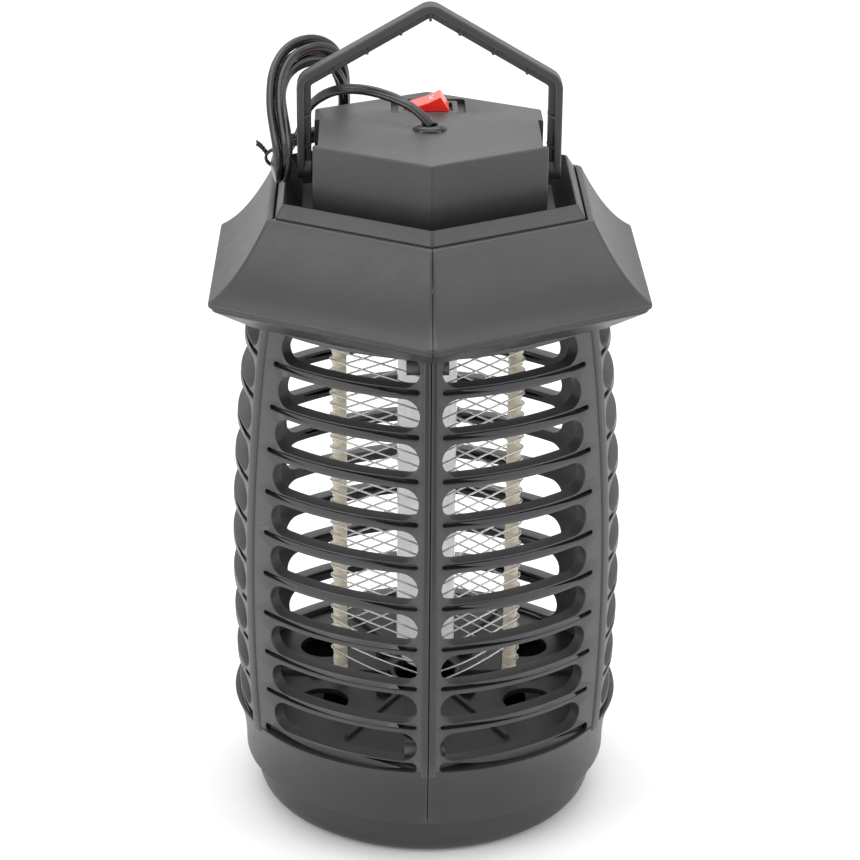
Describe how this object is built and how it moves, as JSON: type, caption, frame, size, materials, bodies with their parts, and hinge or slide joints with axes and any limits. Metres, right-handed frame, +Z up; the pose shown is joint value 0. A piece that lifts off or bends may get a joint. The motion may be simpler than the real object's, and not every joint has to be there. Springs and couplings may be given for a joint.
{
  "type": "electric bug zapper",
  "caption": "Hexagonal lantern insect killer with a flared canopy, louvred cage, inner lamp and high-voltage grid, folding handle, rocker switch and twist-off catch tray.",
  "frame": {"origin": "centre of the catch tray's underside, on the surface it stands on", "axes": "+Z up along the lamp, -Y to the front corner of the hexagon, +X to the right"},
  "size_m": [0.2252, 0.2598, 0.4445],
  "materials": {
    "shell_black": "fine-textured satin black moulding",
    "inner_black": "satin black",
    "ivory_insulator": "matt ivory",
    "grid_wire": "bright drawn wire",
    "lamp_glass": "white coated glass tube",
    "lamp_white": "white",
    "board": "green board",
    "capacitor_blue": "blue sleeve",
    "zinc_steel": "zinc plated",
    "switch_black": "gloss black",
    "rocker_red": "gloss red",
    "cord_black": "satin black vinyl",
    "tie_black": "black",
    "plug_black": "black moulded vinyl with bright blades"
  },
  "bodies": {
    "housing": {"top_cap": "shell_black", "canopy_left": "shell_black", "canopy_right": "shell_black", "cage_left": "shell_black", "cage_right": "shell_black", "electronics_deck": "inner_black", "floor_plate": "inner_black", "funnel": "inner_black", "insulator_front": "ivory_insulator", "insulator_right": "ivory_insulator", "insulator_back": "ivory_insulator", "insulator_left": "ivory_insulator", "grid_live": "grid_wire", "grid_return": "grid_wire", "lamp_tube": "lamp_glass", "lamp_base": "lamp_white", "lamp_socket": "lamp_white", "circuit_board": "board", "lamp_ballast": "inner_black", "multiplier_block": "inner_black", "capacitors": "capacitor_blue", "board_feet": "inner_black", "cord_clamp": "inner_black", "deck_screws": "zinc_steel", "housing_screw": "zinc_steel", "switch_body": "switch_black", "cord_grommet": "cord_black", "cord_lead": "cord_black", "cord_hank": "cord_black", "cord_tail": "cord_black", "cord_tie": "tie_black", "plug": "plug_black"},
    "tray": {"catch_tray": "shell_black"},
    "rocker": {"rocker": "rocker_red"},
    "handle": {"handle": "shell_black"}
  },
  "joints": [
    {"name": "handle_fold", "type": "hinge", "parent": "housing", "child": "handle", "pos_m": [0, 0, 0.3575], "axis": [1, 0, 0], "range_deg": [0, 89]},
    {"name": "rocker_tilt", "type": "hinge", "parent": "housing", "child": "rocker", "pos_m": [0, 0.04, 0.3738], "axis": [0, 1, 0], "range_deg": [0, 20]},
    {"name": "tray_twist", "type": "hinge", "parent": "housing", "child": "tray", "pos_m": [0, 0, 0], "axis": [0, 0, 1], "range_deg": [0, 30]}
  ]
}
